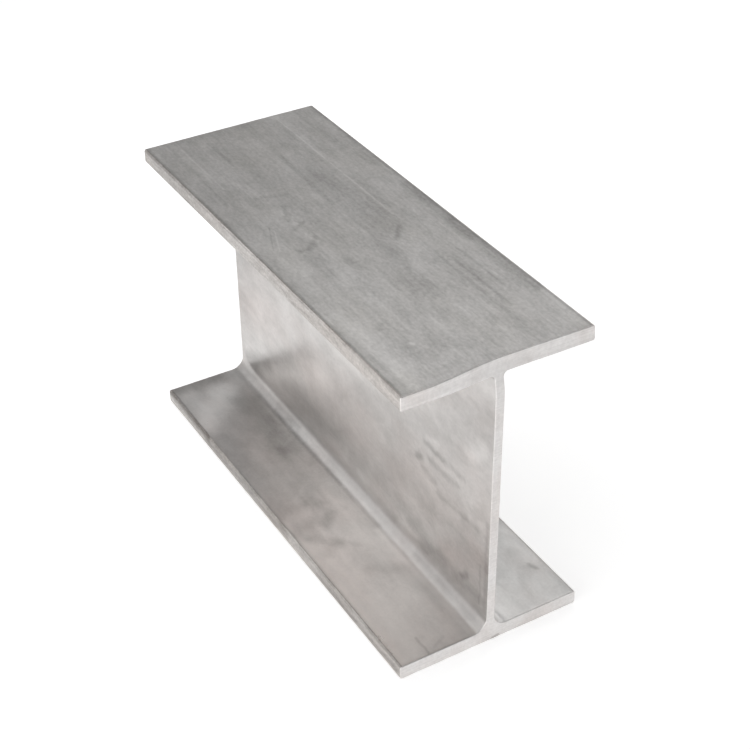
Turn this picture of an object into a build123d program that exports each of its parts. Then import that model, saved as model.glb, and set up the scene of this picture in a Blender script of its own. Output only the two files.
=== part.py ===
from build123d import *
import os

# A short sawn length of stainless steel H section, lying on its lower flange.
# The length runs along X, the flanges spread along Y and the web stands along Z.
# The origin is the middle of the lower flange's underside, halfway along the length.

# Driving dimensions, in millimetres.
SECTION_DEPTH = 203.0  # over both flanges, nominally 8 inches
FLANGE_WIDTH = 125.0
FLANGE_THICKNESS = 9.7
WEB_THICKNESS = 5.8
LOWER_ROOT_RADIUS = 9.0  # fillets between the web and the lower flange
UPPER_ROOT_RADIUS = 3.0  # much tighter fillets under the upper flange
TOE_RADIUS = 1.6  # rolled corners along the flange toes
PIECE_LENGTH = 320.0  # over both sawn ends
DEBURR = 0.6  # small chamfer filed round each sawn end

# A rounding can't be larger than the wall that carries it.
TOE_SHARE = 0.45  # largest toe corner, as a share of the flange thickness
ROOT_SHARE = 0.45  # largest root fillet, as a share of the shorter wall beside it
DEBURR_SHARE = 0.3  # largest deburr, as a share of the thinner wall
POSITION_TOLERANCE = 1e-4


def corners_at_width(outline: BuildSketch, width: float) -> ShapeList:
    """The outline's corners that lie half of the given width to either side of the web's middle."""
    return outline.vertices().filter_by(lambda corner: abs(abs(corner.X) - width / 2) < POSITION_TOLERANCE)


def h_outline(end_plane: Plane) -> Sketch:
    """The rolled cross-section on the given end plane, with its root fillets and rounded toes.

    The sketch runs its X across the flanges and its Y up the web, from the lower flange's underside.
    """
    clear_height = SECTION_DEPTH - 2 * FLANGE_THICKNESS
    overhang = (FLANGE_WIDTH - WEB_THICKNESS) / 2
    mid_height = SECTION_DEPTH / 2
    flange_offset = (SECTION_DEPTH - FLANGE_THICKNESS) / 2
    largest_root = ROOT_SHARE * min(clear_height, overhang)
    lower_root = min(LOWER_ROOT_RADIUS, largest_root)
    upper_root = min(UPPER_ROOT_RADIUS, largest_root)
    toe_radius = min(TOE_RADIUS, TOE_SHARE * FLANGE_THICKNESS)
    with BuildSketch(end_plane) as outline:
        with Locations((0, mid_height - flange_offset), (0, mid_height + flange_offset)):
            Rectangle(FLANGE_WIDTH, FLANGE_THICKNESS)
        with Locations((0, mid_height)):
            Rectangle(WEB_THICKNESS, clear_height)
        fillet(corners_at_width(outline, WEB_THICKNESS).group_by(Axis.Y)[0], lower_root)
        fillet(corners_at_width(outline, WEB_THICKNESS).group_by(Axis.Y)[-1], upper_root)
        fillet(corners_at_width(outline, FLANGE_WIDTH), toe_radius)
    return outline.sketch


def sawn_length() -> Part:
    """The section run from one sawn end to the other, square cut and deburred all round each cut."""
    far_end = Plane.YZ.offset(-PIECE_LENGTH / 2)
    thinner_wall = min(FLANGE_THICKNESS, WEB_THICKNESS)
    rolled = extrude(h_outline(far_end), amount=PIECE_LENGTH)
    sawn_faces = rolled.faces().filter_by(Axis.X)
    return chamfer(sawn_faces.edges(), min(DEBURR, DEBURR_SHARE * thinner_wall))


def main() -> None:
    """Builds the one rolled piece and writes it out."""
    os.makedirs("parts", exist_ok=True)
    beam = sawn_length()
    beam.label = "h_beam"
    export_step(beam, "parts/h_beam.step")
    print(f"h_beam: volume {beam.volume:.0f} mm3, size {beam.bounding_box().size}")


main()
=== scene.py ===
import logging
import math
from dataclasses import dataclass
from enum import Enum

import bpy
import numpy as np
from mathutils import Matrix, Vector


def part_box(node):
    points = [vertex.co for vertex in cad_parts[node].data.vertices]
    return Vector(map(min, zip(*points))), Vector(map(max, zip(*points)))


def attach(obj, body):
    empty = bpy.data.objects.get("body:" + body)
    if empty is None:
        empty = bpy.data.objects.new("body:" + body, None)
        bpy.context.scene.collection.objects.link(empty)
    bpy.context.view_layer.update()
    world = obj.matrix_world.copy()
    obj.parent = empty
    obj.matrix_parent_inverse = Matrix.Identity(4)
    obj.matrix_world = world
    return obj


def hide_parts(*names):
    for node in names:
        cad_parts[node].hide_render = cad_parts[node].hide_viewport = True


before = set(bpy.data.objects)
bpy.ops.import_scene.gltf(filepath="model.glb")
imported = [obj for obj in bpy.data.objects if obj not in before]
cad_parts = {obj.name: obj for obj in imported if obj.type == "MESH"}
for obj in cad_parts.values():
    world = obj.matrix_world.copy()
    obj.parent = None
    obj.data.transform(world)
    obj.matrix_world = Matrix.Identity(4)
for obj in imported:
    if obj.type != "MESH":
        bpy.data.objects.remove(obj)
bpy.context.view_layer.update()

# A short sawn length of hot rolled, annealed and pickled stainless steel H section.
# Lengths are in metres. X runs along the piece towards the near sawn end, Y across the flanges
# away from the side that the camera sees, and Z up the web. The lower flange lies at Z = 0.

MM = 0.001
SAME_PLACE = 1e-4 * MM
LOG = logging.getLogger("h_section")

Tree = bpy.types.NodeTree
Socket = bpy.types.NodeSocket
Triple = tuple[float, float, float]


def linear(hex_colour: str) -> tuple[float, float, float, float]:
    """Turns an sRGB hex colour into linear RGBA.

    Args:
        hex_colour: A hash and six hex digits.

    Returns:
        The linear red, green and blue, with an alpha of 1.
    """
    shares = [int(hex_colour[place:place + 2], 16) / 255 for place in (1, 3, 5)]
    red, green, blue = (s / 12.92 if s <= 0.04045 else ((s + 0.055) / 1.055) ** 2.4 for s in shares)
    return red, green, blue, 1.0


def add(tree: Tree, kind: str, inputs: dict | None = None, **settings: object) -> bpy.types.Node:
    """Adds one node to a tree, with its settings, plain values and links.

    Args:
        tree: The node tree that gets the node.
        kind: The type name of the node, without the ShaderNode that it starts with.
        inputs: A value or an output socket for each input, by the input's name or number.
        settings: Properties of the node, such as operation or data_type.

    Returns:
        The new node.
    """
    node = tree.nodes.new("ShaderNode" + kind)
    for name, value in settings.items():
        setattr(node, name, value)
    for key, value in (inputs or {}).items():
        if isinstance(value, Socket):
            tree.links.new(value, node.inputs[key])
        else:
            node.inputs[key].default_value = value
    return node


def bare_tree(owner: bpy.types.Material | bpy.types.World) -> Tree:
    """Gives a material or world a node tree with nothing in it.

    Args:
        owner: The material or world.

    Returns:
        Its node tree.
    """
    owner.use_nodes = True
    owner.node_tree.nodes.clear()
    return owner.node_tree


def placed(name: str, data: bpy.types.ID) -> bpy.types.Object:
    """Puts a mesh, lamp or camera into the scene.

    Args:
        name: Name of the object.
        data: The mesh, lamp or camera.

    Returns:
        The object, at the origin.
    """
    thing = bpy.data.objects.new(name, data)
    bpy.context.collection.objects.link(thing)
    return thing


class Surface(Enum):
    """The kinds of surface on the section, in the order of the mesh's material slots."""

    OUTER = 0
    INNER = 1
    TOE = 2
    SAWN = 3


@dataclass(frozen=True)
class Walk:
    """Points along a stretch of the outline, with the way out of the steel and the surface there.

    Attributes:
        points: Y and Z of each point, shape (N, 2).
        normals: Unit vectors out of the steel, shape (N, 2).
        surfaces: Surface value of the step that starts at each point, shape (N).
    """

    points: np.ndarray
    normals: np.ndarray
    surfaces: np.ndarray

    @staticmethod
    def straight(start: tuple, end: tuple, steps: int, normal: tuple, surface: Surface) -> "Walk":
        """Evenly spaced points on a straight stretch, without its end.

        Args:
            start: Y and Z of the first point.
            end: Y and Z of the end.
            steps: Number of points.
            normal: The way out of the steel.
            surface: Kind of surface.

        Returns:
            The stretch.
        """
        share = np.linspace(0, 1, steps, endpoint=False)[:, None]
        points = (1 - share) * np.array(start) + share * np.array(end)
        return Walk(points, np.tile(np.array(normal, float), (steps, 1)), np.full(steps, surface.value))

    @staticmethod
    def arc(centre: tuple, radius: float, first: float, turn: float, steps: int, surface: Surface) -> "Walk":
        """Points on a circle, from the first angle on through the turn, without its last point.

        Args:
            centre: Y and Z of the circle's centre.
            radius: The circle's radius.
            first: Degrees from +Y towards +Z where it starts.
            turn: Degrees that it goes on. Below zero, clockwise, it rounds a corner of the steel,
                which faces away from the centre. Above, it is a hollow that faces the centre.
            steps: Number of points.
            surface: Kind of surface.

        Returns:
            The stretch.
        """
        angle = np.radians(first + turn * np.linspace(0, 1, steps, endpoint=False))
        away = np.column_stack([np.cos(angle), np.sin(angle)])
        facing = 1 if turn < 0 else -1
        return Walk(np.array(centre) + radius * away, facing * away, np.full(steps, surface.value))

    @staticmethod
    def joined(stretches: list["Walk"]) -> "Walk":
        """One walk made of several that follow each other."""
        return Walk(
            np.concatenate([stretch.points for stretch in stretches]),
            np.concatenate([stretch.normals for stretch in stretches]),
            np.concatenate([stretch.surfaces for stretch in stretches]),
        )

    def mirrored(self, across: int, up: int, middle: float) -> "Walk":
        """The walk turned over.

        Args:
            across: -1 to turn it over left to right, 1 to leave it.
            up: -1 to turn it upside down, 1 to leave it.
            middle: Height about which it is turned upside down.

        Returns:
            The turned walk.
        """
        sign = np.array([across, up])
        centre = np.array([0.0, middle])
        return Walk((self.points - centre) * sign + centre, self.normals * sign, self.surfaces)

    def reversed_to(self, last: tuple) -> "Walk":
        """The same stretch walked backwards.

        Args:
            last: Y and Z of the end point that the walk leaves out, where the new one starts.

        Returns:
            The backward walk.
        """
        points = np.concatenate([self.points[1:], [last]])[::-1]
        normals = np.concatenate([self.normals[1:], self.normals[-1:]])[::-1]
        return Walk(points, normals, self.surfaces[::-1])


@dataclass(frozen=True)
class Outline:
    """The rolled cross-section, walked as a closed loop, counterclockwise with Y to the right.

    Attributes:
        depth: Height over both flanges.
        width: Width of each flange.
        flange: Thickness of each flange.
        web: Thickness of the web.
        lower_root: Radius of the fillets between the web and the lower flange.
        upper_root: Radius of the tighter fillets under the upper flange.
        toe: Radius of the rolled corners of each toe.
        junction_steps: Steps from the web's middle to where the root fillet meets the flange.
        overhang_steps: Steps along the flat of a flange outside that place.
        toe_steps: Steps round each toe corner.
        edge_steps: Steps through the thickness of a flange.
        root_steps: Steps round each root fillet.
        web_steps: Steps up half of the web's flat.
    """

    depth: float
    width: float
    flange: float = 9.7 * MM
    web: float = 5.8 * MM
    lower_root: float = 9.0 * MM
    upper_root: float = 3.0 * MM
    toe: float = 1.6 * MM
    junction_steps: int = 6
    overhang_steps: int = 32
    toe_steps: int = 6
    edge_steps: int = 6
    root_steps: int = 12
    web_steps: int = 48

    @property
    def quarter_steps(self) -> int:
        """Steps in a quarter of the loop."""
        rounds = 2 * self.toe_steps + self.root_steps
        return self.junction_steps + 2 * self.overhang_steps + self.edge_steps + rounds + self.web_steps

    def quarter(self, root: float) -> Walk:
        """Walks clockwise from the top's middle, round the right toe, to the web's middle.

        Args:
            root: Radius of the fillet between web and flange.

        Returns:
            The walk, without the web's middle.
        """
        half, top, mid = self.width / 2, self.depth, self.depth / 2
        under, side = top - self.flange, self.web / 2
        join, turn = side + root, half - self.toe
        high, low = top - self.toe, under + self.toe
        return Walk.joined([
            Walk.straight((0, top), (join, top), self.junction_steps, (0, 1), Surface.OUTER),
            Walk.straight((join, top), (turn, top), self.overhang_steps, (0, 1), Surface.OUTER),
            Walk.arc((turn, high), self.toe, 90, -90, self.toe_steps, Surface.TOE),
            Walk.straight((half, high), (half, low), self.edge_steps, (1, 0), Surface.TOE),
            Walk.arc((turn, low), self.toe, 0, -90, self.toe_steps, Surface.TOE),
            Walk.straight((turn, under), (join, under), self.overhang_steps, (0, -1), Surface.INNER),
            Walk.arc((join, under - root), root, 90, 90, self.root_steps, Surface.INNER),
            Walk.straight((side, under - root), (side, mid), self.web_steps, (1, 0), Surface.INNER),
        ])

    def loop(self) -> Walk:
        """Walks the whole outline from the top's middle: left side down, underside, right side up.

        Returns:
            The closed walk.
        """
        mid = self.depth / 2
        web_middle = (self.web / 2, mid)
        upper = self.quarter(self.upper_root)
        lower = self.quarter(self.lower_root)
        return Walk.joined([
            upper.mirrored(-1, 1, mid),
            lower.reversed_to(web_middle).mirrored(-1, -1, mid),
            lower.mirrored(1, -1, mid),
            upper.reversed_to(web_middle),
        ])


@dataclass(frozen=True)
class Waves:
    """A smooth random relief: a sum of plane waves with seeded directions and phases.

    Attributes:
        shortest: Shortest wavelength across the piece.
        longest: Longest wavelength across the piece.
        stretch: How many times longer the waves are along X than across.
        seed: Start of the random draws.
        count: Number of waves.
    """

    shortest: float
    longest: float
    stretch: float
    seed: int
    count: int = 24

    def at(self, places: np.ndarray) -> np.ndarray:
        """Height of the relief between about -1 and 1.

        Each wave is the sine of 2 pi times the place along its direction over its wavelength, plus
        a phase. The waves are added and divided by the root of half their number, then by 2.

        Args:
            places: X, Y and Z, shape (..., 3).

        Returns:
            The height at each place, shape (...).
        """
        random = np.random.default_rng(self.seed)
        directions = random.normal(size=(self.count, 3))
        directions /= np.linalg.norm(directions, axis=1, keepdims=True)
        lengths = np.exp(random.uniform(math.log(self.shortest), math.log(self.longest), self.count))
        phases = random.uniform(0, 2 * math.pi, self.count)
        turns = directions / lengths[:, None] * np.array([1 / self.stretch, 1, 1])
        total = np.sin(2 * math.pi * (places @ turns.T) + phases).sum(axis=-1)
        return np.clip(total / math.sqrt(self.count / 2) / 2, -1, 1)


def grid_quads(rows: int, columns: int, closed: bool) -> np.ndarray:
    """Corner numbers of the quads on a grid of points that is stored row after row.

    Args:
        rows: Rows of points.
        columns: Points in a row.
        closed: Whether the last column is joined to the first.

    Returns:
        Quads (Q, 4), each walked along the row first.
    """
    row = np.arange(rows - 1)[:, None]
    column = np.arange(columns if closed else columns - 1)[None, :]
    after = (column + 1) % columns
    here, below = row * columns, (row + 1) * columns
    corners = [here + column, here + after, below + after, below + column]
    return np.stack(corners, axis=-1).reshape(-1, 4)


def eased(share: np.ndarray) -> np.ndarray:
    """A soft step from 0 to 1: three times the square less twice the cube of the share, held to 0 and 1."""
    held = np.clip(share, 0, 1)
    return held ** 2 * (3 - 2 * held)


@dataclass
class HSection:
    """The one rolled piece, as a dressed mesh that stands for the solid of the same size.

    Attributes:
        outline: The rolled cross-section.
        length: Length over both sawn ends.
        stations: Rings along the stretch between the two filed edges.
        crowding: Share by which the rings crowd towards the ends.
        deburr: Width of the rounding filed round each sawn end.
        deburr_steps: Rings round that filed edge.
        crease: Angle in degrees above which an edge stays sharp.
        waviness: Depth of the long waves that the rolls and the straightening leave.
        long_waves: Shape of those waves.
        roll_marks: Depth of the fine lengthwise marks of the rolls.
        roll_lines: Shape of those marks.
        filing: Share by which the filed edge grows and shrinks in width.
        file_strokes: Where it does so.
        saw_marks: Depth of the ripples that the saw leaves on an end.
        ripples: Shape of those ripples.
        ripple_tilt: How much the ripples change across an end, as a share of their change up it.
        wander: How far the saw wandered in over the web of the near end's upper flange.
        wander_start: Where across the flange's top the saw began to wander.
        wander_lean: How much further across it began at the flange's underside.
        wander_run: Width over which the cut wandered in.
        wander_return: Share by which it came back towards the far toe.
        wander_reach: How far below the top the cut is true again.
        wander_fade: Share of the length over which the wander fades along the piece.
    """

    outline: Outline
    length: float
    stations: int = 150
    crowding: float = 0.6
    deburr: float = 0.6 * MM
    deburr_steps: int = 3
    crease: float = 40
    waviness: float = 0.10 * MM
    long_waves: Waves = Waves(shortest=35 * MM, longest=110 * MM, stretch=1.6, seed=11)
    roll_marks: float = 0.015 * MM
    roll_lines: Waves = Waves(shortest=2.5 * MM, longest=8 * MM, stretch=60, seed=12)
    filing: float = 0.35
    file_strokes: Waves = Waves(shortest=9 * MM, longest=40 * MM, stretch=1, seed=13)
    saw_marks: float = 0.05 * MM
    ripples: Waves = Waves(shortest=1.2 * MM, longest=3 * MM, stretch=1, seed=14, count=12)
    ripple_tilt: float = 0.15
    wander: float = 3.7 * MM
    wander_start: float = -48 * MM
    wander_lean: float = 9 * MM
    wander_run: float = 48 * MM
    wander_return: float = 0.35
    wander_reach: float = 24 * MM
    wander_fade: float = 0.3

    def rings(self) -> tuple[np.ndarray, np.ndarray]:
        """Places of the rings along X, and how far each is drawn in by the filed edge.

        A filed edge is a quarter circle: at angle a, the ring stands sin(a) of the deburr's width
        out and is drawn in by 1 - cos(a) of it. Between the edges a ring's place is a mix of an
        even spacing and a sine, which crowds the rings towards the ends.

        Returns:
            The X of each ring and its inset along the outline's normals.
        """
        angle = np.linspace(0, math.pi / 2, self.deburr_steps + 1)[1:]
        reach = self.length / 2 - self.deburr
        edge_places = reach + self.deburr * np.sin(angle)
        edge_insets = self.deburr * (1 - np.cos(angle))
        share = np.linspace(-1, 1, self.stations)
        plain = reach * ((1 - self.crowding) * share + self.crowding * np.sin(math.pi / 2 * share))
        places = np.concatenate([-edge_places[::-1], plain, edge_places])
        insets = np.concatenate([edge_insets[::-1], np.zeros(self.stations), edge_insets])
        return places, insets

    def skin(self) -> tuple[np.ndarray, np.ndarray]:
        """The rolled surface: the outline carried from end to end, with the mill's relief.

        The relief is only ever cut into the steel, so the piece keeps within its size: its depth is
        the waviness times 1 - w over 2, plus the roll marks times 1 - r over 2, where w are the
        long waves and r the roll lines. The filed edge's inset is multiplied by 1 plus its waves.

        Returns:
            Points (rings, loop, 3) and the surface of each step of the loop.
        """
        walk = self.outline.loop()
        places, insets = self.rings()
        rings, steps = len(places), len(walk.points)
        points = np.empty((rings, steps, 3))
        points[..., 0] = places[:, None]
        points[..., 1:] = walk.points
        waves, lines = self.long_waves.at(points), self.roll_lines.at(points)
        depth = self.waviness * (1 - waves) / 2 + self.roll_marks * (1 - lines) / 2
        filed = insets[:, None] * (1 + self.filing * self.file_strokes.at(points))
        drawn_in = depth + filed
        points[..., 1:] -= drawn_in[..., None] * walk.normals
        return points, walk.surfaces

    def end_grids(self, ring: np.ndarray) -> list[np.ndarray]:
        """Fills one end of the section from its last ring: two flange strips and the web between.

        A strip joins each point of a flange's outside straight to the one across its thickness, and
        keeps the ring's own points where it passes over the toes. The web's rows join left to right,
        from root fillet to root fillet.

        Args:
            ring: The ring's points (loop, 3).

        Returns:
            Grids of points (rows, columns, 3), each from top to bottom and left to right.
        """
        outline = self.outline
        quarter = outline.quarter_steps
        left = ring[:2 * quarter + 1]
        right = np.concatenate([ring[2 * quarter:], ring[:1]])[::-1]
        join = outline.junction_steps
        toe_top = join + outline.overhang_steps + outline.toe_steps
        toe_under = toe_top + outline.edge_steps
        root = toe_under + outline.toe_steps + outline.overhang_steps
        low_root, low_under, low_toe = (2 * quarter - place for place in (root, toe_under, toe_top))

        def between(start: np.ndarray, end: np.ndarray, steps: int) -> np.ndarray:
            """Rows of points that lead straight from each start to its end."""
            share = np.linspace(0, 1, steps + 1)[:, None, None]
            return (1 - share) * start + share * end

        def strip(start: np.ndarray, end: np.ndarray, toe: slice) -> np.ndarray:
            """Rows through a flange, with the ring's own points where it passes over the toes.

            Args:
                start: The first row, from left to right.
                end: The last row, from left to right.
                toe: Numbers of the toe's points on either half of the ring.

            Returns:
                The strip's grid.
            """
            rows = between(start, end, outline.edge_steps)
            rows[:, 0] = left[toe]
            rows[:, -1] = right[toe]
            return rows

        web = between(left[root:low_root + 1], right[root:low_root + 1], 2 * join).transpose(1, 0, 2)
        outside_top = np.concatenate([left[toe_top:0:-1], right[:toe_top + 1]])
        inside_top = np.concatenate([left[toe_under:root], web[0], right[toe_under:root][::-1]])
        inside_low = np.concatenate([
            left[low_under:low_root:-1], web[-1], right[low_root + 1:low_under + 1]])
        outside_low = np.concatenate([left[low_toe:2 * quarter], right[low_toe:2 * quarter + 1][::-1]])
        return [
            strip(outside_top, inside_top, slice(toe_top, toe_under + 1)),
            web,
            strip(inside_low, outside_low, slice(low_under, low_toe + 1)),
        ]

    def sawn(self, points: np.ndarray) -> np.ndarray:
        """Draws the ends in by what the saw did.

        The ripples are waves that run nearly level across the end and stop where the filed edge
        starts. At the near end the cut also wandered: its set-back eases in across the upper flange
        from a place that leans with the depth, comes back a little towards the far toe, and fades to
        nothing from the top down and along the piece. Each easing is 3 t squared - 2 t cubed, with t
        held between 0 and 1.

        Args:
            points: Points (..., 3) with square cut ends.

        Returns:
            The same points with X drawn in.
        """
        outline = self.outline
        x, y, z = points[..., 0], points[..., 1], points[..., 2]
        half = self.length / 2
        level = np.stack([0 * x, self.ripple_tilt * y, z], axis=-1)
        at_end = np.clip(1 - (half - np.abs(x)) / self.deburr, 0, 1)
        rippled = self.saw_marks * (1 - self.ripples.at(level)) / 2 * at_end
        down = np.clip((outline.depth - z) / outline.flange, 0, 1)
        came_in = eased((y - self.wander_start - down * self.wander_lean) / self.wander_run)
        came_back = 1 - self.wander_return * eased(2 * y / outline.width)
        at_flange = eased(1 - (outline.depth - z) / self.wander_reach)
        near_end = eased(1 - (half - x) / (self.wander_fade * self.length))
        wandered = self.wander * came_in * came_back * at_flange * near_end
        moved = points.copy()
        moved[..., 0] -= np.sign(x) * rippled + wandered
        return moved

    def build(self, name: str) -> bpy.types.Object:
        """Makes the mesh object with one closed skin, smooth faces and its four surfaces.

        Args:
            name: Name of the object.

        Returns:
            The object, at the origin.
        """
        skin, step_surfaces = self.skin()
        rings, steps, _ = skin.shape
        ring_surfaces = np.tile(step_surfaces, (rings - 1, 1))
        ring_surfaces[:self.deburr_steps] = Surface.SAWN.value
        ring_surfaces[-self.deburr_steps:] = Surface.SAWN.value
        grids = [(skin.reshape(-1, 3), grid_quads(rings, steps, True), ring_surfaces.reshape(-1))]
        for ring, near in ((skin[0], False), (skin[-1], True)):
            for grid in self.end_grids(ring):
                quads = grid_quads(grid.shape[0], grid.shape[1], False)
                facing = quads[:, ::-1] if near else quads
                grids.append((grid.reshape(-1, 3), facing, np.full(len(quads), Surface.SAWN.value)))
        starts = np.cumsum([0] + [len(points) for points, _, _ in grids])
        points = self.sawn(np.concatenate([points for points, _, _ in grids]))
        faces = np.concatenate([quads + start for (_, quads, _), start in zip(grids, starts)])
        surfaces = np.concatenate([surface for _, _, surface in grids])
        points, faces = merged(points, faces)
        mesh = bpy.data.meshes.new(name)
        mesh.from_pydata(points.tolist(), [], faces.tolist())
        mesh.polygons.foreach_set("material_index", surfaces.astype(np.int32))
        mesh.shade_smooth()
        mesh.set_sharp_from_angle(angle=math.radians(self.crease))
        mesh.validate()
        return placed(name, mesh)


def merged(points: np.ndarray, faces: np.ndarray) -> tuple[np.ndarray, np.ndarray]:
    """Joins points that lie at the same place, to a ten-thousandth of a millimetre.

    Args:
        points: Points (N, 3).
        faces: Corner numbers (F, 4).

    Returns:
        The points that are left and the faces that use them.
    """
    rounded = np.round(points / SAME_PLACE).astype(np.int64)
    _, first, number = np.unique(rounded, axis=0, return_index=True, return_inverse=True)
    return points[first], number.reshape(-1)[faces]


# Noises and marks are held between 0 and 1 by clamp nodes of their own. The clamp setting of a math or
# range node is worked out at the very end of a material, so the renderer would hold the values of all
# marks at once, which is more than it has room for.


@dataclass(frozen=True)
class Mottle:
    """Noise over a whole surface: clouds, lengthwise lines, scratches or grain.

    Attributes:
        size: Length of one blotch along X, Y and Z, in millimetres.
        tone: How much the tone rises from the noise's darkest places to its lightest.
        depth: How far it goes up and down in the surface, in millimetres.
        detail: Number of finer noises in it.
        fineness: Strength of each finer noise as a share of the last.
        low: Noise that counts as all dark.
        high: Noise that counts as all light.
        bend: How far the noise is pulled out of shape.
    """

    size: Triple
    tone: float
    depth: float = 0.0
    detail: float = 3.0
    fineness: float = 0.55
    low: float = 0.3
    high: float = 0.7
    bend: float = 0.0

    def build(self, tree: Tree, place: Socket, shift: Triple) -> Socket:
        """Adds the noise's nodes.

        Args:
            tree: The material's node tree.
            place: Where on the object the surface is.
            shift: How far the noise is slid along X, Y and Z, so that no two noises line up.

        Returns:
            A number from 0, all dark, to 1, all light.
        """
        size = tuple(length * MM for length in self.size)
        laid = add(tree, "Mapping", {
            "Vector": place, "Location": shift, "Scale": size}, vector_type="TEXTURE")
        noise = add(tree, "TexNoise", {
            "Vector": laid.outputs[0], "Scale": 1.0, "Detail": self.detail, "Roughness": self.fineness,
            "Distortion": self.bend})
        spread = add(tree, "MapRange", {0: noise.outputs["Fac"], 1: self.low, 2: self.high}, clamp=False)
        return add(tree, "Clamp", {0: spread.outputs[0]}).outputs[0]


@dataclass(frozen=True)
class Mark:
    """One scratch, scuff, stain or rubbed patch, or one patch of painted light or shade, that stands at its
    own place.

    Attributes:
        start: One end of the mark's middle line, in millimetres.
        end: The other end.
        reach: How far the mark fades out to either side, in millimetres.
        tone: How far it moves the tone at its middle.
        ragged: How far its outline strays, in millimetres.
        depth: How deep it is cut, in millimetres.
    """

    start: Triple
    end: Triple
    reach: float
    tone: float
    ragged: float = 0.0
    depth: float = 0.0

    def build(self, tree: Tree, place: Socket, stray: Socket) -> Socket:
        """Adds the mark's nodes.

        The place is moved by the stray noise and laid on the middle line: its share t of the way is
        the dot product of its offset from the start with the line, over the line's length squared,
        held between 0 and 1. The mark fades softly with the distance to the start plus t lines.

        Args:
            tree: The material's node tree.
            place: Where on the object the surface is.
            stray: Noise vector about 0, half a unit either way.

        Returns:
            A number from 0, outside the mark, to 1, at its middle line.
        """
        start = Vector(self.start) * MM
        line = Vector(self.end) * MM - start
        moved = place
        if self.ragged:
            by = tuple(3 * [2 * self.ragged * MM])
            moved = add(tree, "VectorMath", {
                0: stray, 1: by, 2: place}, operation="MULTIPLY_ADD").outputs[0]
        offset = add(tree, "VectorMath", {0: moved, 1: start}, operation="SUBTRACT")
        gauge = line / max(line.length_squared, MM ** 4)
        along = add(tree, "VectorMath", {0: offset.outputs[0], 1: gauge}, operation="DOT_PRODUCT")
        share = add(tree, "Clamp", {0: along.outputs["Value"]})
        nearest = add(tree, "VectorMath", {0: line, "Scale": share.outputs[0]}, operation="SCALE")
        apart = add(tree, "VectorMath", {
            0: offset.outputs[0], 1: nearest.outputs[0]}, operation="DISTANCE")
        soft = add(tree, "MapRange", {0: apart.outputs["Value"], 1: self.reach * MM, 2: 0.0},
            interpolation_type="SMOOTHSTEP", clamp=False)
        return soft.outputs[0]


class Face(Enum):
    """Faces that carry marks: the axis that each is square to, by number, and its place in millimetres."""

    TOP = (2, 203)
    LOW_FLANGE = (2, 9.7)
    WEB = (1, -2.9)
    TOE = (1, -62.5)

    def marks(self, *rows: tuple) -> tuple[Mark, ...]:
        """Marks on the face.

        Args:
            rows: For each mark its start and end along the other two axes, its reach, its tone and,
                where it has them, how ragged and how deep it is.

        Returns:
            The marks.
        """
        axis, place = self.value
        return tuple(
            Mark((*start[:axis], place, *start[axis:]), (*end[:axis], place, *end[axis:]), *look)
            for start, end, *look in rows
        )


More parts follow.
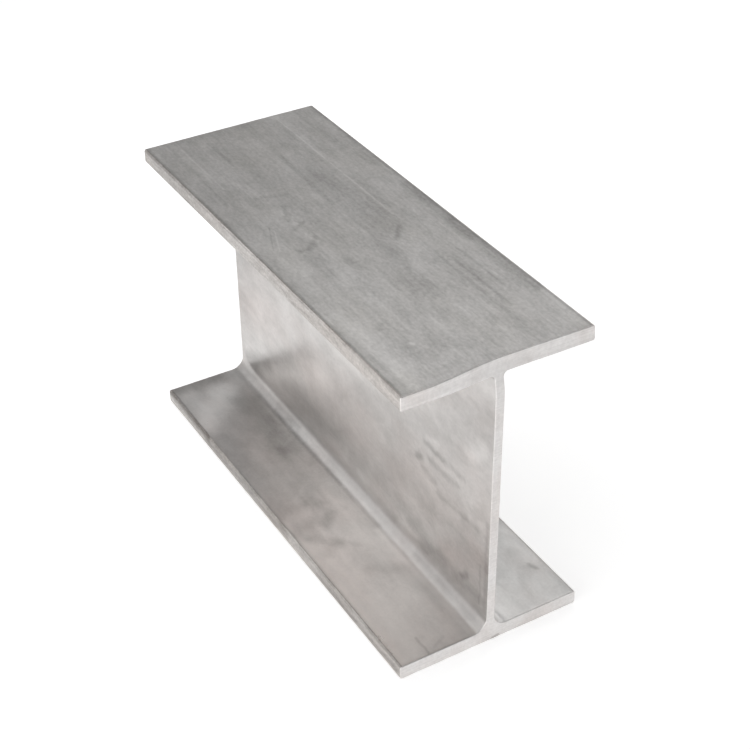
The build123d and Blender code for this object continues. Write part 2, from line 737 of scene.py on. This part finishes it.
@dataclass(frozen=True)
class SteelFinish:
    """One kind of surface on the stainless steel, in shades between a dark and a light colour.

    Attributes:
        name: Name of the material.
        dark: Colour where the tone lies its reach below 0, or lower.
        light: Colour where the tone lies its reach above 0, or higher.
        tint: Colour that the warm stains are multiplied by.
        roughness: Roughness where the tone is 0.
        polish: How much smoother the lightest places are than the darkest.
        mottles: Noises all over the surface.
        marks: Single marks at their own places, some of them painted light and shade.
        stains: Marks that only tint the colour.
        dulled: Marks that only add to the roughness.
        stain_clouds: Noise that tints the colour all over.
        stray_size: Length of one blotch of the noise that roughens the marks' outlines, in millimetres.
        stray_detail: Number of finer noises in it.
        slide: How far each noise is slid past the last along X, Y and Z.
        cloud_slide: How far the stain clouds are slid.
        reach: Tone, either way from 0, at which the colour is fully dark or light.
    """

    name: str
    dark: str
    light: str
    tint: str
    roughness: float
    polish: float
    mottles: tuple[Mottle, ...]
    marks: tuple[Mark, ...] = ()
    stains: tuple[Mark, ...] = ()
    dulled: tuple[Mark, ...] = ()
    stain_clouds: Mottle = Mottle((45, 30, 30), 0.35, low=0.4, high=0.75)
    stray_size: float = 7
    stray_detail: float = 4
    slide: Triple = (0.37, 0.23, 0.51)
    cloud_slide: Triple = (-0.7, -0.4, -0.9)
    reach: float = 0.75

    def build(self) -> bpy.types.Material:
        """Makes the material: the summed tone of noises and marks drives its colour and roughness.

        The tone is turned to a share between dark and light by 3 t squared - 2 t cubed, where t runs
        from 0 to 1 while the tone runs from its reach below 0 to its reach above 0, so no noise is cut
        off hard.

        Returns:
            The material.
        """
        material = bpy.data.materials.new(self.name)
        tree = bare_tree(material)
        place = add(tree, "TexCoord").outputs["Object"]
        stray = self.stray(tree, place)
        tone, height = self.tone(tree, place, stray)
        share = add(tree, "MapRange", {
            0: tone, 1: -self.reach, 2: self.reach}, interpolation_type="SMOOTHSTEP").outputs[0]
        plain = add(tree, "Mix", {
            0: share, 6: linear(self.dark), 7: linear(self.light)}, data_type="RGBA")
        amount = self.stained(tree, place, stray)
        colour = add(tree, "Mix", {
            0: amount, 6: plain.outputs[2], 7: linear(self.tint)}, data_type="RGBA", blend_type="MULTIPLY")
        rough = add(tree, "Math", {
            0: share, 1: -self.polish, 2: self.roughness + self.polish / 2}, operation="MULTIPLY_ADD")
        for mark in self.dulled:
            value = mark.build(tree, place, stray)
            rough = add(tree, "Math", {
                0: value, 1: mark.tone, 2: rough.outputs[0]}, operation="MULTIPLY_ADD")
        bump = add(tree, "Bump", {"Height": height, "Distance": MM})
        shader = add(tree, "BsdfPrincipled", {
            "Base Color": colour.outputs[2], "Metallic": 1.0, "Roughness": rough.outputs[0],
            "Normal": bump.outputs[0]})
        add(tree, "OutputMaterial", {"Surface": shader.outputs[0]})
        return material

    def stray(self, tree: Tree, place: Socket) -> Socket:
        """Adds a noise vector, half a unit either way, that roughens the outlines of the marks.

        Args:
            tree: The material's node tree.
            place: Where on the object the surface is.

        Returns:
            The noise vector.
        """
        size = tuple(3 * [self.stray_size * MM])
        laid = add(tree, "Mapping", {"Vector": place, "Scale": size}, vector_type="TEXTURE")
        noise = add(tree, "TexNoise", {
            "Vector": laid.outputs[0], "Scale": 1.0, "Detail": self.stray_detail})
        middle = add(tree, "VectorMath", {
            0: noise.outputs["Color"], 1: (0.5, 0.5, 0.5)}, operation="SUBTRACT")
        return middle.outputs[0]

    def tone(self, tree: Tree, place: Socket, stray: Socket) -> tuple[Socket, Socket]:
        """Adds up the noises, each less a half, and the marks, by their tones and by their depths.

        Args:
            tree: The material's node tree.
            place: Where on the object the surface is.
            stray: Noise vector that roughens the marks' outlines.

        Returns:
            The tone, about 0, and the height of the surface in millimetres.
        """
        tone = add(tree, "Math", {0: 0.0, 1: 0.0}).outputs[0]
        height = tone
        for number, mottle in enumerate(self.mottles):
            value = mottle.build(tree, place, tuple(step * number for step in self.slide))
            middle = add(tree, "Math", {0: value, 1: 0.5}, operation="SUBTRACT").outputs[0]
            tone = add(tree, "Math", {
                0: middle, 1: mottle.tone, 2: tone}, operation="MULTIPLY_ADD").outputs[0]
            if mottle.depth:
                height = add(tree, "Math", {
                    0: middle, 1: mottle.depth, 2: height}, operation="MULTIPLY_ADD").outputs[0]
        for mark in self.marks:
            value = mark.build(tree, place, stray)
            tone = add(tree, "Math", {
                0: value, 1: mark.tone, 2: tone}, operation="MULTIPLY_ADD").outputs[0]
            if mark.depth:
                height = add(tree, "Math", {
                    0: value, 1: -mark.depth, 2: height}, operation="MULTIPLY_ADD").outputs[0]
        return tone, height

    def stained(self, tree: Tree, place: Socket, stray: Socket) -> Socket:
        """Adds up how strongly the tint shows: the clouds' share plus each stain.

        Args:
            tree: The material's node tree.
            place: Where on the object the surface is.
            stray: Noise vector that roughens the stains' outlines.

        Returns:
            A number from 0, no tint, to 1, all of it.
        """
        clouds = self.stain_clouds.build(tree, place, self.cloud_slide)
        amount = add(tree, "Math", {
            0: clouds, 1: self.stain_clouds.tone}, operation="MULTIPLY", use_clamp=True).outputs[0]
        for stain in self.stains:
            value = stain.build(tree, place, stray)
            amount = add(tree, "Math", {
                0: value, 1: stain.tone, 2: amount}, operation="MULTIPLY_ADD", use_clamp=True).outputs[0]
        return amount


@dataclass(frozen=True)
class RolledOutside(SteelFinish):
    """Outer faces of the flanges: hot rolled, annealed, pickled, then rubbed by handling and stacking.

    Acid takes the scale off and leaves a dull neutral grey with no mirror in it. Its colours are drawn
    darker than those of the inner faces, which are the same steel: that difference is painted shade,
    for how the light falls on the top. The rolls leave light and dark lines along the piece, and what
    lay on it leaves scratches and grey smudges. The real roll lines are a few hundredths of a
    millimetre wide, too fine to show, so they are drawn two to four millimetres wide.
    """

    name: str = "stainless_steel_rolled_outside"
    dark: str = "#868482"
    light: str = "#DAD8D6"
    tint: str = "#ECEAE5"
    roughness: float = 0.42
    polish: float = 0.12
    mottles: tuple[Mottle, ...] = (
        Mottle((160, 14, 14), 0.14, detail=3),
        Mottle((60, 3.6, 3.6), 0.10, depth=0.003, detail=4, bend=0.2),
        Mottle((24, 1.7, 1.7), 0.09, depth=0.003, detail=3, low=0.34, high=0.66, bend=0.3),
        Mottle((44, 26, 26), 0.24, detail=7, fineness=0.66, bend=0.8),
        Mottle((12, 7, 7), 0.16, detail=5, fineness=0.65, bend=1.0),
        Mottle((2.6, 1.8, 1.8), 0.18, depth=0.003, detail=2),
    )
    marks: tuple[Mark, ...] = Face.TOP.marks(
        ((-155, 31.5), (-2, 31.5), 1, 0.16, 0.4, 0.006),
        ((-150, 28.5), (-60, 28.5), 2.2, -0.1, 1),
        ((-104, 8.5), (-32, 7), 2.4, -0.18, 0.8),
        ((-78, 16), (-48, 18), 8, -0.1, 3),
        ((-146, -42), (-84, -42), 1.2, 0.18, 0.4, 0.006),
        ((-60, -41), (-12, -42), 1.2, 0.1, 0.5),
        ((-122, -47), (-66, -50), 2.2, -0.13, 1.2),
        ((-146, -23), (-114, -23), 2, -0.1, 0.8),
        ((-58, -13), (-63, -31), 3.5, -0.13, 2.4),
        ((-45, -21), (-36, -23), 4, -0.2, 4),
        ((-34, -26), (-28, -27), 3.6, -0.2, 4),
        ((-22, -21), (-17, -27), 4, -0.2, 4),
        ((-3, -22), (2, -27), 4, -0.2, 4),
        ((5, -24), (7, -36), 3.8, -0.2, 3),
        ((-27, -40), (-2, -50), 0.9, -0.16, 0.3, 0.01),
        ((-22, -39), (0, -47), 0.9, 0.14, 0.3),
        ((12, 27), (24, 18), 3.5, -0.22, 1.5),
        ((16, 9), (38, 7), 8, -0.1, 4),
        ((52, 43), (98, 43.5), 2.2, -0.12, 0.8),
        ((62, 34.5), (118, 35), 2, -0.13, 0.8),
        ((53, 29), (100, 29), 2, -0.13, 0.8),
        ((54, 24), (88, 24), 1.8, -0.12, 0.8),
        ((58, 36), (108, 38), 11, -0.08, 5),
        ((20, -50), (152, -50), 15, 0.15, 3),
        ((121, -32), (122, -32), 2, 0.34, 1),
        ((127, -27), (129, -27), 1.8, 0.2, 1),
        ((131, 16), (135, 18), 3.5, 0.12, 1.5),
        ((-158, -45), (-156, 10), 12, -0.1, 5),
        ((-40, -26), (4, -24), 2.6, 0.14, 4),
        ((-45, 32), (5, 24), 24, -0.1, 5),
        ((110, -14), (150, -8), 16, 0.12, 4),
        ((-10, -50), (28, -42), 12, 0.14, 3),
        ((50, -26), (66, -27), 9, -0.12, 4),
        # Painted dark reflection: thin dark lines along both edges of the top, where it rounds into the
        # toes.
        ((-158, -60.5), (158, -60.5), 1.8, -0.22, 0.8),
        ((-158, 60.5), (158, 60.5), 2.2, -0.26, 0.8),
        ((-30, 58), (110, 58), 8, -0.26, 2),
        ((22, 57), (44, 57), 7, -0.2, 2),
    )


@dataclass(frozen=True)
class RolledInside(SteelFinish):
    """Web and inner faces of the flanges: the same pickled steel, sheltered from handling.

    The steel is a little warmer and smoother than outside, with soft clouds, faint roll lines, some
    scuffs and brownish stains. Its colours are drawn lighter than outside, which is painted light, and
    many of its marks paint light and shade on the web, the lower root fillets and the lower flange.
    The roll lines are too fine to show at their real width, so they are drawn 1.5 mm wide.
    """

    name: str = "stainless_steel_rolled_inside"
    dark: str = "#6B6967"
    light: str = "#FDFCFA"
    tint: str = "#F5ECEA"
    roughness: float = 0.30
    polish: float = 0.06
    reach: float = 1.15
    mottles: tuple[Mottle, ...] = (
        Mottle((220, 9, 9), 0.06, detail=3),
        Mottle((110, 1.5, 1.5), 0.03, depth=0.001, detail=2),
        Mottle((26, 18, 16), 0.16, depth=0.004, detail=4, fineness=0.55, bend=0.8),
        Mottle((9, 6, 6), 0.10, depth=0.0015, detail=3, bend=0.8),
        Mottle((1.8, 1.8, 1.8), 0.06, depth=0.0015, detail=1),
    )
    marks: tuple[Mark, ...] = Face.WEB.marks(
        # Painted light: a band below the reflected diagonal on the web, where light bounces up from the
        # lower flange.
        ((-118, 22), (-40, 72), 24, 0.23, 4),
        ((-60, 62), (30, 66), 26, 0.14, 4),
        # Painted reflection: the upper middle of the web drawn lighter, for the floor that it mirrors.
        ((-15, 112), (34, 116), 20, 0.19, 4),
        ((6, 128), (60, 130), 26, 0.2, 4),
        ((80, 136), (112, 136), 20, 0.16, 4),
        # Painted shade: the web's far upper part drawn darker.
        ((-150, 110), (-104, 104), 24, -0.11, 4),
        ((-158, 60), (-152, 115), 34, -0.17, 4),
        ((-80, 31), (20, 31), 22, -0.05, 3),
        ((36, 31), (95, 32), 20, -0.2, 3),
        ((124, 27), (158, 27), 7, -0.12, 2),
        ((-40, 92), (-12, 94), 20, 0.14, 4),
        ((76, 29), (150, 28), 10, -0.15, 2),
        ((118, 28), (158, 42), 26, -0.23, 4),
        ((90, 54), (158, 62), 20, -0.16, 4),
        ((110, 78), (152, 88), 18, -0.12, 4),
        ((118, 138), (156, 152), 34, -0.16, 5),
        # Painted shade: the dark edge of the reflected diagonal across the web's far lower part.
        ((-150, 22), (-118, 36), 11, -0.28, 3),
        ((-118, 46), (-52, 68), 12, -0.12, 4),
        ((2, 31), (16, 32), 10, -0.15, 3),
        ((62, 40), (80, 36), 12, -0.14, 3),
        ((136, 74), (156, 76), 12, -0.18, 3),
        ((90, 104), (110, 104), 4.2, -0.26, 2.6),
        ((112, 105), (132, 104), 3.4, -0.15, 2.4),
        ((96, 94), (126, 95), 4.2, -0.19, 2.8),
        ((82, 89), (85, 91), 5, -0.32, 2),
        ((88, 84), (102, 82), 5, -0.19, 2.6),
        ((106, 76), (148, 79), 4, -0.14, 2.8),
        ((92, 110), (104, 112), 3.5, 0.1, 2),
        ((94, 99), (126, 100), 3.2, 0.08, 3),
        ((138, 126), (150, 138), 10, 0.21, 4),
        ((90, 24), (112, 25), 9, -0.21, 3),
        ((133, 32), (138, 36), 5, -0.26, 2),
        ((151.5, 24), (151.5, 55), 1.6, -0.12, 1.6),
        ((157, 22), (157, 90), 3, -0.16, 1.6),
    ) + Face.LOW_FLANGE.marks(
        ((-92, -15), (-34, -17), 8, -0.13, 2),
        # Painted light: the near part of the lower flange next to the web, and a highlight on the fillet's
        # foot.
        ((60, -14), (158, -15), 9, 0.15, 2),
        ((50, -11), (160, -11), 4.5, 0.3, 0.6),
        # Painted shade: the far half of the lower flange drawn darker next to the web.
        ((-116, -18), (-58, -24), 20, -0.3, 3),
        ((-50, -28), (-10, -32), 14, -0.16, 3),
        ((10, -22), (12, -28), 10, 0.14, 3),
        # Painted light: the next four marks draw the near half of the lower flange lighter, out to its toe.
        ((120, -35), (165, -35), 36, 0.16, 3),
        ((24, -18), (160, -20), 15, 0.17, 2),
        ((48, -38), (160, -38), 40, 0.14, 5),
        ((46, -62), (158, -62), 34, 0.5, 4),
        ((12, -48), (14, -58), 12, 0.26, 3),
        # Painted light: the far outer corner of the lower flange, where light falls in beyond the reflected
        # diagonal.
        ((-138, -32), (-107, -58), 18, 0.52, 3),
        ((-160, -60), (-157, -25), 15, -0.3, 3),
        ((92, 14), (150, 14), 14, 0.15, 2),
        ((92, 57), (122, 57), 11, 0.26, 2),
        # Painted light on the same far outer corner.
        ((-146, -54), (-108, -56), 12, 0.24, 2),
        ((84, -60), (156, -60), 7, 0.16, 1),
        # Painted dark reflection: a thin dark line where the lower flange rounds into its toe, on the far
        # part.
        ((-156, -61.6), (-100, -61.6), 2, -0.6, 0.8),
        ((46, -40), (52, -52), 8, -0.12, 3),
        ((144, -42), (160, -42), 1.5, -0.28, 1.2, 0.005),
        ((151, -28), (156, -36), 2.2, -0.14, 2),
        ((0, -37), (9, -31), 9, -0.23, 4),
        ((18, -30), (28, -38), 7, -0.2, 4),
        ((48, -39), (34, -53), 7, -0.23, 3),
        ((50, -33), (56, -29), 3.5, -0.14, 2),
        ((78, -34), (90, -14), 9, -0.08, 3),
        ((127, 52), (131, 54), 3, -0.28, 2),
    ) + (
        # Painted highlight and shade: lighter and darker lines across the lower root fillet and the foot of
        # the web, which shape the fillet's highlight.
        Mark((-120, -3, 18), (160, -3, 18), 6, 0.17, 0.6),
        Mark((-125, -3, 17.6), (50, -3, 17.6), 5, 0.1, 0.4),
        Mark((-158, -9, 10.2), (-40, -9, 10.2), 6, -0.09, 0.6),
        Mark((0, -9.6, 10), (160, -9.6, 10), 2.6, 0.16, 0.4),
        Mark((-64, -5.2, 12.6), (80, -5.2, 12.6), 5, 0.2, 0.4),
    )
    stains: tuple[Mark, ...] = Face.WEB.marks(
        ((118, 36), (152, 56), 20, 0.5, 5),
        ((-160, 165), (160, 165), 70, 0.3, 5),
        ((-150, 75), (-115, 85), 40, 0.3, 5),
    ) + (
        Mark((-160, -62, 70), (160, -62, 70), 125, 0.5),
    )
    dulled: tuple[Mark, ...] = (
        Mark((-160, -7, 13), (160, -7, 13), 7, 0.24),
        Mark((-160, 7, 13), (160, 7, 13), 7, 0.24),
    )


@dataclass(frozen=True)
class RolledToe(SteelFinish):
    """Narrow rolled edges of the flanges, which take the knocks when a piece is set down.

    They are bruised and rubbed bright in short lengths, between small brownish grey spots.
    """

    name: str = "stainless_steel_rolled_toe"
    dark: str = "#7F7B78"
    light: str = "#D5D1CE"
    tint: str = "#EADFD6"
    roughness: float = 0.38
    polish: float = 0.1
    mottles: tuple[Mottle, ...] = (
        Mottle((60, 20, 3.5), 0.28, detail=4),
        Mottle((9, 8, 2.2), 0.32, depth=0.02, detail=4, fineness=0.6),
        Mottle((1.5, 1.5, 1.2), 0.24, depth=0.006, detail=1),
    )
    marks: tuple[Mark, ...] = Face.TOE.marks(
        # The upper toe is drawn darker towards the far end and a little lighter at the near end.
        ((-160, 198), (-120, 198), 110, -0.16),
        ((140, 198), (160, 198), 70, 0.09),
        # Painted dark reflection: a thin dark line along the rounded top edge of the lower toe, on the far
        # part.
        ((-158, 8), (-96, 8), 4, -0.5, 1),
        ((-96, 6), (20, 6), 5, -0.25, 2),
        ((60, 4), (156, 4), 2.2, -0.25, 1.2),
    )


@dataclass(frozen=True)
class SawnEnd(SteelFinish):
    """Ends cut on a cold saw and filed: bare bright steel, the lightest surface of the piece.

    The blade's teeth leave fine ripples, which scatter the light, so the face is pale and matt with
    faint level lines. The ripples are a tenth of a millimetre apart and are drawn a millimetre apart.
    """

    name: str = "stainless_steel_sawn_end"
    dark: str = "#C4C1BF"
    light: str = "#F8F6F5"
    tint: str = "#EFE4DF"
    roughness: float = 0.5
    polish: float = 0.08
    mottles: tuple[Mottle, ...] = (
        Mottle((20, 90, 1.0), 0.20, depth=0.01, detail=2),
        Mottle((10, 12, 9), 0.20, detail=4, bend=0.5),
        Mottle((2, 2, 2), 0.16, depth=0.004, detail=1),
    )
    marks: tuple[Mark, ...] = (
        Mark((160, 1.8, 0.8), (160, 5.4, 1.6), 1.7, -1, 0.6, 0.3),
    )


@dataclass(frozen=True)
class SoftBox:
    """A large soft lamp near the piece, turned to its middle.

    Attributes:
        name: Name of the lamp.
        azimuth: Degrees that it hangs round from the -Y side towards +X.
        elevation: Degrees that it hangs above the floor, seen from the piece's middle.
        width: Width of its face.
        height: Height of its face.
        brightness: Brightness of its face, where 1 is white.
        distance: Distance from the piece's middle.
    """

    name: str
    azimuth: float
    elevation: float
    width: float
    height: float
    brightness: float
    distance: float = 0.9

    def build(self, middle: Vector) -> None:
        """Hangs the lamp. Its power is pi times its area times its brightness.

        Args:
            middle: The piece's middle, which the lamp faces.
        """
        lamp = bpy.data.lights.new(self.name, "AREA")
        lamp.shape = "RECTANGLE"
        lamp.size = self.width
        lamp.size_y = self.height
        lamp.energy = math.pi * self.width * self.height * self.brightness
        round_by, up_by = math.radians(self.azimuth), math.radians(self.elevation)
        level = math.cos(up_by)
        away = Vector((math.sin(round_by) * level, -math.cos(round_by) * level, math.sin(up_by)))
        held = placed(self.name, lamp)
        held.location = middle + self.distance * away
        held.rotation_euler = away.to_track_quat("Z", "Y").to_euler()
        held.visible_camera = False


@dataclass(frozen=True)
class StudioCamera:
    """The camera at the photograph's viewing angle.

    Attributes:
        aim: The place that the middle of the picture shows.
        azimuth: Degrees that the camera stands round from the -Y side towards +X.
        elevation: Degrees that it looks down.
        roll: Degrees that it leans.
        distance: Distance to the aim.
        lens: Focal length, in millimetres.
        sensor: Width of the sensor, in millimetres.
    """

    aim: Triple = (8.9 * MM, 10.9 * MM, 98.4 * MM)
    azimuth: float = 59.77
    elevation: float = 35.39
    roll: float = -0.65
    distance: float = 0.991
    lens: float = 75.36
    sensor: float = 36.0

    def build(self) -> None:
        """Makes the camera from the three angles: turn round, look down, lean."""
        camera = bpy.data.cameras.new("studio_camera")
        camera.sensor_width = self.sensor
        camera.lens = self.lens
        held = placed("studio_camera", camera)
        turned = Matrix.Rotation(math.radians(self.azimuth), 4, "Z")
        tilted = Matrix.Rotation(math.radians(90 - self.elevation), 4, "X")
        leant = Matrix.Rotation(math.radians(self.roll), 4, "Z")
        stand_off = Matrix.Translation((0, 0, self.distance))
        held.matrix_world = Matrix.Translation(self.aim) @ turned @ tilted @ leant @ stand_off
        bpy.context.scene.camera = held


@dataclass(frozen=True)
class Studio:
    """The pale floor, the soft light of the room and the lamps.

    Attributes:
        floor_half: Half the side of the floor.
        floor_colour: Colour of the floor.
        floor_glow: Light that the floor shows of itself to the camera and to the metal, where 1 is white.
        sky: Brightness of the room at rising elevations, as pairs of degrees and brightness.
        lamps: The soft boxes round the piece.
    """

    floor_half: float = 12.0
    floor_colour: str = "#F2F2F2"
    floor_glow: float = 0.5
    sky: tuple[tuple[float, float], ...] = ((0, 0.98), (20, 0.28), (40, 0.06), (60, 0.67), (90, 1.1))
    lamps: tuple[SoftBox, ...] = (
        SoftBox("left_box", 310, 37, 0.42, 0.34, 1.62),
        SoftBox("far_left_box", 300, 30, 0.42, 0.34, 0.62),
        SoftBox("low_left_box", 325, 12, 0.42, 0.30, 0.35),
        SoftBox("front_box", 20, 15, 0.85, 0.50, 2.23),
        SoftBox("far_box", 200, 15, 0.85, 0.50, 1.0),
        SoftBox("back_box", 225, 50, 0.50, 0.36, 1.02),
        SoftBox("low_back_box", 255, 20, 0.50, 0.36, 0.38),
        SoftBox("high_back_box", 255, 50, 0.50, 0.36, 0.27),
    )

    def build_world(self) -> None:
        """Lights the room the same all round, by the elevation, which is the arc sine of the height."""
        world = bpy.data.worlds.new("soft_room")
        bpy.context.scene.world = world
        tree = bare_tree(world)
        direction = add(tree, "TexCoord").outputs["Generated"]
        up = add(tree, "SeparateXYZ", {0: direction}).outputs["Z"]
        angle = add(tree, "Math", {0: up}, operation="ARCSINE")
        share = add(tree, "Math", {
            0: angle.outputs[0], 1: math.pi / 2}, operation="DIVIDE", use_clamp=True)
        ramp = add(tree, "ValToRGB", {0: share.outputs[0]})
        stops = ramp.color_ramp.elements
        while len(stops) < len(self.sky):
            stops.new(1.0)
        peak = max(brightness for _, brightness in self.sky)
        for stop, (degrees, brightness) in zip(stops, self.sky):
            stop.position = degrees / 90
            stop.color = (*3 * [brightness / peak], 1.0)
        glow = add(tree, "Background", {"Color": ramp.outputs["Color"], "Strength": peak})
        add(tree, "OutputWorld", {"Surface": glow.outputs[0]})

    def build_floor(self) -> None:
        """Lays a wide pale floor that keeps the piece's shadow, white to the camera and to the metal."""
        half = self.floor_half
        mesh = bpy.data.meshes.new("floor")
        corners = [(-half, -half, 0), (half, -half, 0), (half, half, 0), (-half, half, 0)]
        mesh.from_pydata(corners, [], [(0, 1, 2, 3)])
        material = bpy.data.materials.new("pale_floor")
        mesh.materials.append(material)
        tree = bare_tree(material)
        matt = add(tree, "BsdfDiffuse", {"Color": linear(self.floor_colour)})
        path = add(tree, "LightPath")
        seen = path.outputs["Is Camera Ray"]
        for ray in ("Is Glossy Ray", "Is Transmission Ray"):
            seen = add(tree, "Math", {0: seen, 1: path.outputs[ray]}, operation="ADD").outputs[0]
        strength = add(tree, "Math", {0: seen, 1: self.floor_glow}, operation="MULTIPLY")
        glow = add(tree, "Emission", {"Color": (1.0, 1.0, 1.0, 1.0), "Strength": strength.outputs[0]})
        both = add(tree, "AddShader", {0: matt.outputs[0], 1: glow.outputs[0]})
        add(tree, "OutputMaterial", {"Surface": both.outputs[0]})
        placed("floor", mesh)


def main() -> None:
    """Builds the piece, its finishes, the studio and the camera, in that order."""
    logging.basicConfig(level=logging.INFO, format="%(name)s: %(message)s")
    low, high = (Vector(corner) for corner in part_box("h_beam"))
    size = high - low
    section = HSection(Outline(depth=size.z, width=size.y), length=size.x)
    beam = section.build("h_beam_dressed")
    finishes = {
        Surface.OUTER: RolledOutside(),
        Surface.INNER: RolledInside(),
        Surface.TOE: RolledToe(),
        Surface.SAWN: SawnEnd(),
    }
    for surface in Surface:
        beam.data.materials.append(finishes[surface].build())
    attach(beam, "root")
    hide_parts("h_beam")
    LOG.info("%s: %d faces, %.0f x %.0f x %.0f mm", beam.name, len(beam.data.polygons), *(size / MM))
    studio = Studio()
    studio.build_world()
    studio.build_floor()
    for lamp in studio.lamps:
        lamp.build((low + high) / 2)
    StudioCamera().build()
    bpy.context.scene.view_settings.view_transform = "Standard"


if __name__ == "__main__":
    main()
